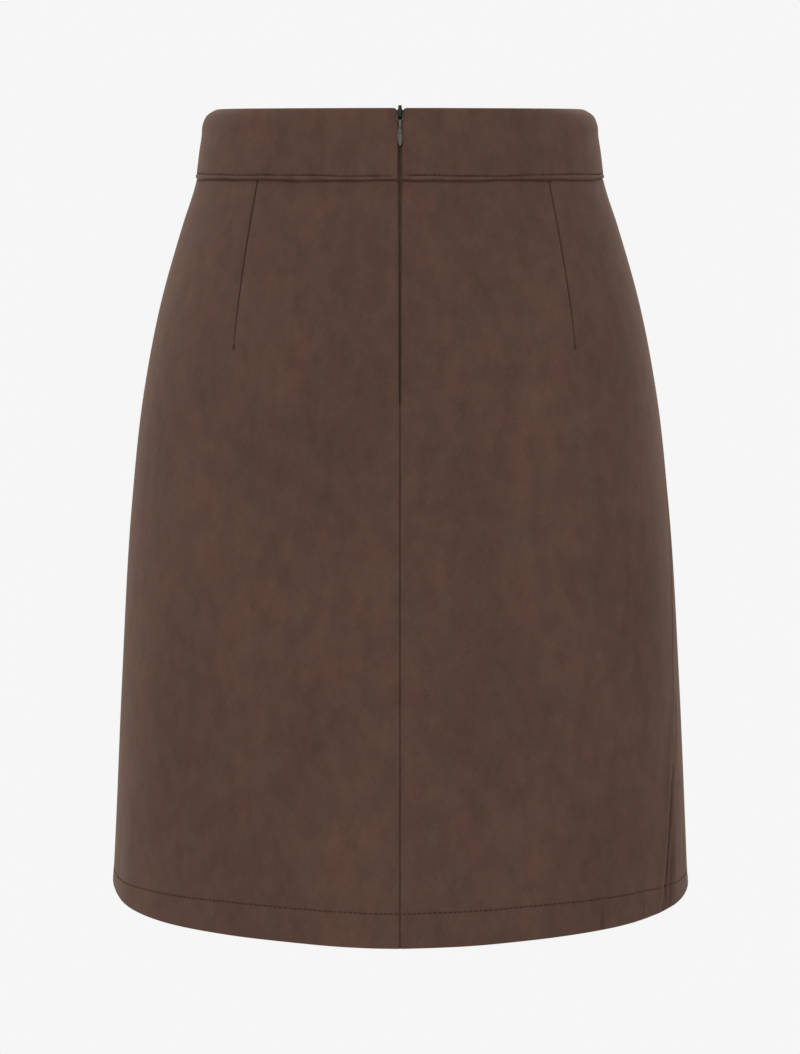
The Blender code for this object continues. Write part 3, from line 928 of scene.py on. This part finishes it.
class SkirtZip(bpy.types.PropertyGroup):
    """The centre-back zip."""

    tape: bpy.props.FloatVectorProperty(
        name="Tape colour", description="Colour of the woven zip tapes",
        default=(0.15, 0.092, 0.06),
        subtype="COLOR", size=3,
    )
    coil: bpy.props.FloatVectorProperty(
        name="Coil colour", description="Colour of the nylon coils", default=(0.07, 0.053, 0.04),
        subtype="COLOR", size=3,
    )
    coil_pitch: bpy.props.FloatProperty(
        name="Coil pitch", description="From one turn of the coil to the next",
        default=1.25 * MM, unit="LENGTH",
        precision=5,
    )
    enamel: bpy.props.FloatVectorProperty(
        name="Slider colour", description="Dark enamel of the slider", default=(0.03, 0.034, 0.028),
        subtype="COLOR", size=3,
    )
    pull: bpy.props.FloatVectorProperty(
        name="Pull colour", description="Gunmetal of the pull", default=(0.118, 0.111, 0.097),
        subtype="COLOR", size=3,
    )


class SkirtStage(bpy.types.PropertyGroup):
    """Floor, light and camera."""

    light: bpy.props.FloatProperty(
        name="Light", description="Strength of the even light from all round", default=0.58, min=0
    )
    backdrop: bpy.props.FloatProperty(
        name="Backdrop", description="Brightness of the backdrop behind the skirt",
        default=0.92, min=0
    )
    camera_distance: bpy.props.FloatProperty(
        name="Camera distance", description="From the waist's centre to the camera",
        default=1.95, unit="LENGTH"
    )
    camera_tilt: bpy.props.FloatProperty(
        name="Camera tilt", description="How far the camera looks down",
        default=math.radians(6.96), subtype="ANGLE"
    )
    lens: bpy.props.FloatProperty(name="Lens", description="Focal length in mm", default=107.0)
    floor_drop: bpy.props.FloatProperty(
        name="Floor drop", description="From the waist's centre down to the floor",
        default=1.0, unit="LENGTH"
    )


# Pieces.


class SKIRT_OT_stage(bpy.types.Operator):
    """Makes the floor, backdrop, lights and camera"""

    bl_idname = "skirt.stage"
    bl_label = "Stage"

    def execute(self, context):
        stage = context.scene.skirt_stage
        context.scene.view_settings.view_transform = "Standard"
        world = bpy.data.worlds.new("studio")
        context.scene.world = world
        world.use_nodes = True
        world.node_tree.nodes["Background"].inputs["Color"].default_value = (1.0, 1.0, 1.0, 1.0)
        world.node_tree.nodes["Background"].inputs["Strength"].default_value = stage.light
        select_none()
        bpy.ops.mesh.primitive_uv_sphere_add(segments=48, ring_count=24, radius=12, location=(0, 0, 0))
        dome = context.object
        dome.name = "backdrop_dome"
        pale, _, links, shader = new_material("backdrop_pale")
        set_inputs(
            shader, links, Base_Color=(0.0, 0.0, 0.0, 1.0), Specular_IOR_Level=0.0,
            Emission_Color=(1.0, 1.0, 1.0, 1.0), Emission_Strength=stage.backdrop,
        )
        dome.data.materials.append(pale)
        select_none()
        bpy.ops.mesh.primitive_circle_add(
            vertices=64, radius=11.5, fill_type="NGON", location=(0, 0, -stage.floor_drop)
        )
        floor = context.object
        floor.name = "studio_floor"
        floor.data.materials.append(pale)
        for obj in (dome, floor):
            obj.visible_diffuse = obj.visible_glossy = obj.visible_shadow = False
            obj.visible_transmission = False
        for name, place, size, power in (
            ("key", (0.75, 2.8, 1.05), 1.6, 16.0),
            ("front_fill", (-1.2, -2.6, 1.6), 1.6, 17.0),
            ("left_rim", (0.55, -0.1, 0.5), 0.4, 1.2),
            ("right_rim", (-0.8, -0.12, 0.85), 0.6, 0.5),
        ):
            select_none()
            bpy.ops.object.light_add(type="AREA", location=place)
            light = context.object
            light.name = name
            light.data.size, light.data.energy = size, power
            aim = Vector((0, 0, -0.22)) - Vector(place)
            light.rotation_euler = aim.to_track_quat("-Z", "Y").to_euler()
        select_none()
        tilt = math.pi / 2 - stage.camera_tilt
        bpy.ops.object.camera_add(location=(0, stage.camera_distance, 0), rotation=(tilt, 0, math.pi))
        camera = context.object
        camera.data.lens, camera.data.sensor_width = stage.lens, 36
        context.scene.camera = camera
        return {"FINISHED"}


class SKIRT_OT_back_panels(bpy.types.Operator):
    """Makes the two back panels, each with a dart, either side of the zip"""

    bl_idname = "skirt.back_panels"
    bl_label = "Back panels"

    def execute(self, context):
        finish = skirt_suedette()
        left = panel_cloth(
            "back_left_cloth",
            [
                lambda z: SEAM_HALF / smooth("half_width", z),
                lambda z: angle_at(dart_line("left", z), z),
                lambda z: angle_at(gap_half(z), z),
            ],
            ("seam", "zip"), finish, darted=True,
        )
        right = panel_cloth(
            "back_right_cloth",
            [
                lambda z: angle_at(-gap_half(z), z),
                lambda z: angle_at(-dart_line("right", z), z),
                lambda z: right_seam(z) - SEAM_HALF / smooth("half_width", z),
            ],
            ("zip", "seam"), finish, darted=True,
        )
        hang(left, "back_left")
        hang(right, "back_right")
        return {"FINISHED"}


class SKIRT_OT_fronts(bpy.types.Operator):
    """Makes the right front, which laps over, and the left front behind it"""

    bl_idname = "skirt.fronts"
    bl_label = "Fronts"

    def execute(self, context):
        finish = skirt_suedette()

        def corner(angle, side):
            inside = np.clip(LAP_CORNER_RADIUS - side[1], 0, LAP_CORNER_RADIUS)
            return LAP_CORNER_RADIUS - np.sqrt(LAP_CORNER_RADIUS**2 - inside**2)

        over = panel_cloth(
            "front_over_cloth",
            [
                lambda z: right_seam(z) + SEAM_HALF / smooth("half_width", z),
                lambda z: angle_at(edge_between(LAP_EDGE, z), z, front=True),
            ],
            ("seam", "free"), finish, rise=corner,
        )
        under = panel_cloth(
            "front_under_cloth",
            [
                lambda z: angle_at(edge_between(UNDER_EDGE, z), z, front=True),
                lambda z: 2 * np.pi - SEAM_HALF / smooth("half_width", z),
            ],
            ("raw", "seam"), finish,
            rise=lambda angle, side: UNDER_HEM_LIFT * tucked(angle),
            tuck=lambda angle: UNDER_BEHIND * tucked(angle),
        )
        hang(over, "front_over")
        hang(under, "front_under")
        return {"FINISHED"}


class SKIRT_OT_waistband(bpy.types.Operator):
    """Makes the doubled waistband, folded at its top and edge-stitched along its seam"""

    bl_idname = "skirt.waistband"
    bl_label = "Waistband"

    def execute(self, context):
        finish = skirt_suedette()
        start = angle_at(-GAP_HALF_TOP, np.array(0.0))
        end = angle_at(GAP_HALF_TOP, np.array(0.0)) + 2 * np.pi
        share = graded(BAND_LENGTH)
        angle = start + (end - start) * share
        reach = np.minimum(share, 1 - share) * BAND_LENGTH
        radius = BAND_END_RADIUS
        rise = radius - np.sqrt(radius**2 - np.clip(radius - reach, 0, radius) ** 2)
        about_line = np.array([
            -2.2, -1.5, -1.0, -0.6, -0.25, 0, 0.25, 0.6, 1.0, 1.5, 2.0, 2.5, 3.0, 3.3, 3.5, 3.7,
        ]) * MM
        down = np.concatenate([
            EDGE_STEPS[:8], np.linspace(4.6, 36.5, 18) * MM, BAND_HALF - BAND_LINE + about_line,
        ])
        down = np.unique(np.round(down, 6))[:, None]
        z = BAND_HALF - rise - down * (1 - rise / (2 * BAND_HALF))
        seam_shift = waist_seam(angle) * ease((-8 * MM - z) / (12 * MM))
        z = z + seam_shift
        angle = angle + 0 * z
        along = gone_along(on_form(angle, z))
        wander = waver(0.105 * angle, *BAND_WANDER)
        below = z - (BAND_LINE + wander)
        puff = 0.35 + waver(along, (0.047, 1.0, 0.12), (0.11, 3.0, 0.1))
        outer = BAND_PROUD + 0.3 * MM * soft(z - 1 * MM, 15 * MM)
        sewn = ease((reach - 2.6 * MM) / (2 * MM))
        outer = outer - 0.45 * MM * soft(below, 0.7 * MM) * sewn
        outer = outer + puff * MM * soft(below + 1.4 * MM, 0.85 * MM)
        above_seam = z + BAND_HALF - seam_shift
        outer = outer - 1.1 * roll(above_seam, 1.0 * MM)
        inner = BAND_PROUD - BAND_WALL + 0 * z
        from_end = np.minimum(along, along[:, -1:] - along)
        shut = closing(BAND_HALF - rise - z, 1.3 * MM) * closing(from_end, 0.9 * MM)
        # Painted shade along the stitches' groove and the waist seam, and painted highlight on the
        # puffed ledge below the stitches and along the folded top.
        uneven = 0.52 + waver(along, (0.033, 0.6, 0.22), (0.013, 2.1, 0.16), (0.077, 4.0, 0.16))
        uneven = uneven + 0.35 * soft(angle - angle_at(-13 * MM, np.array(BAND_LINE)), 0.13)
        shade_and_highlight = -uneven * soft(below, 0.6 * MM) * sewn - 0.55 * soft(above_seam, 0.5 * MM)
        shade_and_highlight = shade_and_highlight + 0.5 * soft(below + 1.4 * MM, 0.65 * MM)
        shade_and_highlight = shade_and_highlight + 0.4 * soft(BAND_HALF - rise - z, 0.8 * MM)
        cut = np.stack([along, z], axis=-1)
        piece = sheet_between("waistband_cloth", angle, z, outer, inner, shut, cut, shade_and_highlight, finish)
        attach(piece, "skirt")
        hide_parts("waistband")
        return {"FINISHED"}


class SKIRT_OT_stitches(bpy.types.Operator):
    """Sews the hem, the waistband's edge, the lap, the dart ends and the zip's end"""

    bl_idname = "skirt.stitches"
    bl_label = "Stitches"

    def execute(self, context):
        seams = context.scene.skirt_seams
        finish = thread("brown_thread", seams.thread_colour)
        pattern = stitch_pattern(0.6 * seams.pitch)
        sunk = 0.12 * MM

        def along_hem(start, end):
            angle = np.linspace(start, end, 400)
            z = hem(angle) + seams.hem_line - line_drop(angle)
            z = z + waver(angle, (0.41, 0.3, 0.25 * MM), (0.17, 1.3, 0.15 * MM))
            return angle, z, drape(angle, z) - sunk

        level = np.array(HEM_SIDE)
        lap = float(angle_at(LAP_EDGE[1] - seams.lap_line, level, front=True))
        hem_start = float(right_seam(level))
        runs = [
            along_hem(0.012, np.pi / 2 - 0.006),
            along_hem(np.pi / 2 + 0.006, hem_start - 0.01),
            along_hem(hem_start + 0.01, lap),
        ]
        under = float(angle_at(LAP_EDGE[1] + 0.002, level, front=True))
        angle, z, lift = along_hem(under, 6.27)
        behind = -UNDER_BEHIND * tucked(angle)
        z = z + UNDER_HEM_LIFT * -behind / UNDER_BEHIND
        runs.append((angle, z, lift + behind))
        places = [place for k, run in enumerate(runs) for place in stitch_places(*run, seams.pitch, k)]
        repeated("hem_stitches", pattern, places, finish)

        z = np.linspace(PANEL_TOP - 1 * MM, HEM_SIDE + 8 * MM, 500)
        angle = angle_at(edge_between(LAP_EDGE, z) - seams.lap_line, z, front=True)
        lift = drape(angle, z) + 0.9 * scene_value("cloth", "thickness") - sunk
        places = stitch_places(angle, z, lift, seams.pitch, 11)
        repeated("lap_stitches", pattern, places, finish)

        start = float(angle_at(-GAP_HALF_TOP - 4 * MM, np.array(0.0)))
        end = 3 * np.pi - start
        angle = np.linspace(start, end, 700)
        z, lift = band_line(angle)
        places = stitch_places(angle, z, lift, 0.9 * seams.pitch, 12)
        repeated("band_stitches", pattern, places, finish)
        bpy.data.objects.remove(pattern)

        tack = stitch_pattern(1.5 * MM)
        places = []
        for side, sign in (("left", 1), ("right", -1)):
            z = DART_END + np.array([-1.0, 0.7]) * MM
            angle = angle_at(sign * dart_line(side, z), z)
            places += stitch_places(angle, z, drape(angle, z) - 0.05 * MM, 1.5 * MM, 20)
        z = ZIP_END + np.array([-1.5, 1.5]) * MM
        for x in (-1.6 * MM, 1.6 * MM):
            angle = angle_at(x, z)
            places += stitch_places(angle, z, drape(angle, z) - 0.05 * MM, 1.4 * MM, 21)
        repeated("tack_stitches", tack, places, finish)
        bpy.data.objects.remove(tack)
        return {"FINISHED"}


class SKIRT_OT_zip_tapes(bpy.types.Operator):
    """Makes the two woven tapes behind the centre-back opening"""

    bl_idname = "skirt.zip_tapes"
    bl_label = "Zip tapes"

    def execute(self, context):
        finish = woven_tape("zip_tape_weave", context.scene.skirt_zip.tape)
        top, low, wide, wall = 18.5 * MM, -163 * MM, 12 * MM, 1 * MM
        z = np.linspace(top, low, 150)[:, None]
        for side, sign in (("left", 1), ("right", -1)):
            inner_edge = np.interp(z, (11 * MM, 13 * MM), (0.03 * MM, GAP_HALF_TOP))
            share = np.array([0, 0.01, 0.03, 0.06, 0.1, 0.15, 0.25, 0.4, 0.55, 0.7, 0.85, 0.95, 0.99, 1])
            x = inner_edge + (wide - inner_edge) * share
            distance = x - inner_edge
            if side == "left":
                x, distance = x[:, ::-1], distance[:, ::-1]
            height = z + 0 * x
            angle = angle_at(sign * x, height)
            offset = tape_offset(height)
            shut = closing(distance, wall / 2) * closing(wide - inner_edge - distance, wall / 2)
            cut = np.stack([x, height], axis=-1)
            name = f"zip_tape_{side}_weave"
            piece = sheet_between(
                name, angle, height, -offset, -offset - wall, shut, cut, 0 * x, finish
            )
            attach(piece, "skirt")
            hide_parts(f"zip_tape_{side}")
        return {"FINISHED"}


class SKIRT_OT_zip_coils(bpy.types.Operator):
    """Makes the two nylon coils, meshed with each other on the wearer's side of the tapes"""

    bl_idname = "skirt.zip_coils"
    bl_label = "Zip coils"

    def execute(self, context):
        pitch = context.scene.skirt_zip.coil_pitch
        finish = nylon("zip_coil_nylon", context.scene.skirt_zip.coil)
        top, low, sides, wire = 10.2 * MM, ZIP_END, 6, 0.27 * MM
        turns = int((top - low) / pitch)
        turn = np.linspace(0, 2 * np.pi * turns, 12 * turns + 1)
        for side, sign in (("left", 1), ("right", -1)):
            shift = 0 if side == "left" else pitch / 2
            z = top - shift - pitch * turn / (2 * np.pi)
            x = sign * (0.62 + 0.72 * np.cos(turn)) * MM
            angle = angle_at(x, z)
            lift = -tape_offset(z) - 1 * MM - (1.15 - 0.62 * np.sin(turn)) * MM
            line = moved_out(angle, z, lift)
            ahead = np.gradient(line, axis=0)
            ahead /= np.linalg.norm(ahead, axis=1, keepdims=True)
            first = np.cross(ahead, (0, 0, 1.0))
            first /= np.linalg.norm(first, axis=1, keepdims=True)
            second = np.cross(ahead, first)
            around = 2 * np.pi * np.arange(sides) / sides
            across = first[:, None] * np.cos(around)[:, None], second[:, None] * np.sin(around)[:, None]
            rings = line[:, None] + wire * (across[0] + across[1])
            index = np.arange(len(line) * sides).reshape(-1, sides)
            ahead_of = np.roll(index, -1, axis=1)
            faces = np.stack([index[:-1], ahead_of[:-1], ahead_of[1:], index[1:]], -1)
            faces = faces.reshape(-1, 4).tolist()
            faces += [index[0][::-1].tolist(), index[-1].tolist()]
            mesh = bpy.data.meshes.new(f"zip_coil_{side}_turns")
            mesh.from_pydata(rings.reshape(-1, 3).tolist(), [], faces)
            piece = bpy.data.objects.new(f"zip_coil_{side}_turns", mesh)
            context.scene.collection.objects.link(piece)
            nodes = ["zip_coil"] if side == "left" else []
            settle(piece, Matrix.Identity(4), finish, "skirt", "zip_coil", *nodes)
        return {"FINISHED"}


class SKIRT_OT_zip_stop(bpy.types.Operator):
    """Makes the clamped metal stop at the zip's lower end"""

    bl_idname = "skirt.zip_stop"
    bl_label = "Zip stop"

    def execute(self, context):
        low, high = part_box("zip_stop")
        size, middle = high - low, (high + low) / 2
        stop = add_primitive("cube", "zip_stop_clamp", size=1)
        shape(stop, lambda x, y, z: (x * size.x, y * (size.y - 0.4 * MM), z * size.z))
        edit_faces(stop, lambda centre, normal: normal.y < -0.9)
        bpy.ops.mesh.inset(thickness=0.9 * MM)
        bpy.ops.transform.translate(value=(0, 0.35 * MM, 0))
        bpy.ops.object.mode_set(mode="OBJECT")
        apply_modifier(stop, "BEVEL", width=0.35 * MM, segments=3, limit_method="ANGLE")
        finish = cast_metal("slider_enamel", context.scene.skirt_zip.enamel, 0.4, 0.8)
        settle(stop, Matrix.Translation(middle), finish, "skirt", "slider_metal", "zip_stop")
        return {"FINISHED"}


class SKIRT_OT_zip_slider(bpy.types.Operator):
    """Makes the slider: body behind the tapes, neck and shoulders in the gap, and the pull's bail"""

    bl_idname = "skirt.zip_slider"
    bl_label = "Zip slider"

    def execute(self, context):
        # Half widths of the slider's front, at heights above the pull's axis, in mm.
        front_rows = (
            (5.75, 0.88), (5.6, 1.0), (5.1, 1.05), (4.0, 1.05), (3.3, 1.35), (2.7, 2.0), (2.2, 2.35),
            (1.6, 2.1), (0.9, 1.3), (0.2, 0.95), (-0.3, 0.6),
        )
        heights, halves = np.array(front_rows[::-1]).T
        front = add_primitive("cube", "slider_front", size=1)
        select_only(front)
        bpy.ops.object.mode_set(mode="EDIT")
        bpy.ops.mesh.select_all(action="SELECT")
        bpy.ops.mesh.subdivide(number_cuts=15)

        def to_front(x, y, z):
            height = heights[0] + (z + 0.5) * (heights[-1] - heights[0])
            half = float(np.interp(height, heights, halves))
            crown = 0.25 * (1 - (2 * x) ** 2)
            deep = -1.9 + (y + 0.5) * (1.55 + crown)
            return x * 2 * half * MM, deep * MM, height * MM

        shape(front, to_front)
        bridge = add_primitive("cube", "slider_bridge", size=1)
        shape(bridge, lambda x, y, z: (x * 1.5 * MM, (-4.2 + y * 5.2) * MM, (-0.4 + z * 5.6) * MM))
        neck = add_primitive("cube", "slider_neck", size=1)
        shape(neck, lambda x, y, z: (x * 1.9 * MM, (-2.6 + y * 2.4) * MM, (4.0 + z * 2.6) * MM))
        body = add_primitive("cube", "slider_body", size=1)
        shape(body, lambda x, y, z: (
            x * (5.4 if z > 0 else 3.9) * MM, (-7.62 + y * 3.9) * MM, (-1.85 + z * 9.6) * MM,
        ))
        edit_faces(body, lambda centre, normal: normal.y < -0.9)
        bpy.ops.mesh.inset(thickness=0.8 * MM)
        bpy.ops.transform.translate(value=(0, 0.3 * MM, 0))
        bpy.ops.object.mode_set(mode="OBJECT")
        for piece, width in ((front, 0.18), (bridge, 0.2), (neck, 0.4), (body, 0.5)):
            apply_modifier(piece, "BEVEL", width=width * MM, segments=3, limit_method="ANGLE")
        bail = add_primitive(
            "torus", "slider_bail", major_radius=1.32 * MM, minor_radius=0.42 * MM, major_segments=28,
            minor_segments=12, rotation=(0, math.pi / 2, 0),
        )
        select_only(bail)
        bpy.ops.object.transform_apply(location=True, rotation=True, scale=True)
        shape(bail, lambda x, y, z: (x * 1.7, y + 0.1 * MM, z))
        unite(front, neck, bridge, body, bail)
        front.name = "zip_slider_cast"
        finish = cast_metal("slider_enamel", context.scene.skirt_zip.enamel, 0.4, 0.8)
        settle(front, Matrix.Translation(pull_axis()), finish, "skirt", "slider_metal", "zip_slider")
        return {"FINISHED"}


class SKIRT_OT_zip_pull(bpy.types.Operator):
    """Makes the pull: a rounded ring, a shaft and a teardrop with a raised rim"""

    bl_idname = "skirt.zip_pull"
    bl_label = "Zip pull"

    def execute(self, context):
        # Half widths of the shaft and teardrop, at distances below the pull's axis, in mm.
        rows = (
            (-17.85, 0.3), (-17.6, 0.7), (-17.1, 1.05), (-16.2, 1.38), (-14.6, 1.68), (-12.6, 1.78),
            (-10.6, 1.66), (-8.6, 1.36), (-6.9, 1.06), (-5.6, 0.95), (-3.2, 0.98),
        )
        heights, halves = np.array(rows).T
        blade = add_primitive("cube", "zip_pull_cast", size=1)
        select_only(blade)
        bpy.ops.object.mode_set(mode="EDIT")
        bpy.ops.mesh.select_all(action="SELECT")
        bpy.ops.mesh.subdivide(number_cuts=31)

        def to_blade(x, y, z):
            height = float(np.interp(z + 0.5, np.linspace(0, 1, len(heights)), heights))
            half = float(np.interp(height, heights, halves))
            hollow = ease((0.6 - abs(2 * x)) / 0.3)
            hollow = hollow * ease((height + 17.0) / 0.6) * ease((-6.6 - height) / 1.2)
            thick = 1.15 * (1 - 0.75 * (max(abs(2 * x) - 0.55, 0) / 0.45) ** 2) - 0.7 * hollow
            return x * 2 * half * MM, y * thick * MM, height * MM

        shape(blade, to_blade)
        ring = add_primitive(
            "torus", "pull_ring", major_radius=1.62 * MM, minor_radius=0.43 * MM, major_segments=36,
            minor_segments=12, rotation=(math.pi / 2, 0, 0),
        )
        select_only(ring)
        bpy.ops.object.transform_apply(location=True, rotation=True, scale=True)
        shape(ring, lambda x, y, z: (
            x * (1.08 - 0.25 * z / (1.62 * MM)), y * 1.15, z * (0.94 if z > 0 else 1.02) - 1.45 * MM,
        ))
        apply_modifier(blade, "BEVEL", width=0.12 * MM, segments=2, limit_method="ANGLE")
        unite(blade, ring)
        finish = cast_metal("pull_gunmetal", context.scene.skirt_zip.pull, 0.34, 1.0)
        place = Matrix.Translation(pull_axis()) @ Matrix.Rotation(pull_lean(), 4, "X")
        settle(blade, place, finish, "pull", "pull_metal", "zip_pull")
        return {"FINISHED"}


class SKIRT_PT_panel(bpy.types.Panel):
    """Lists the skirt's settings and pieces"""

    bl_idname = "SKIRT_PT_panel"
    bl_label = "Wrap Skirt"
    bl_space_type = "VIEW_3D"
    bl_region_type = "UI"
    bl_category = "Skirt"

    def draw(self, context):
        for name in SETTINGS:
            group = getattr(context.scene, name)
            box = self.layout.box()
            for setting in group.__annotations__:
                box.prop(group, setting)
        for piece in OPERATORS:
            self.layout.operator(piece.bl_idname)


SETTINGS = {
    "skirt_cloth": SkirtCloth,
    "skirt_seams": SkirtSeams,
    "skirt_zip": SkirtZip,
    "skirt_stage": SkirtStage,
}
OPERATORS = (
    SKIRT_OT_stage,
    SKIRT_OT_back_panels,
    SKIRT_OT_fronts,
    SKIRT_OT_waistband,
    SKIRT_OT_stitches,
    SKIRT_OT_zip_tapes,
    SKIRT_OT_zip_coils,
    SKIRT_OT_zip_stop,
    SKIRT_OT_zip_slider,
    SKIRT_OT_zip_pull,
)
CLASSES = (*SETTINGS.values(), *OPERATORS, SKIRT_PT_panel)


def register():
    for made in CLASSES:
        bpy.utils.register_class(made)
    for name, group in SETTINGS.items():
        setattr(bpy.types.Scene, name, bpy.props.PointerProperty(type=group))


def unregister():
    for name in SETTINGS:
        delattr(bpy.types.Scene, name)
    for made in reversed(CLASSES):
        bpy.utils.unregister_class(made)


def main():
    register()
    for piece in OPERATORS:
        group, name = piece.bl_idname.split(".")
        getattr(getattr(bpy.ops, group), name)()


if __name__ == "__main__":
    main()
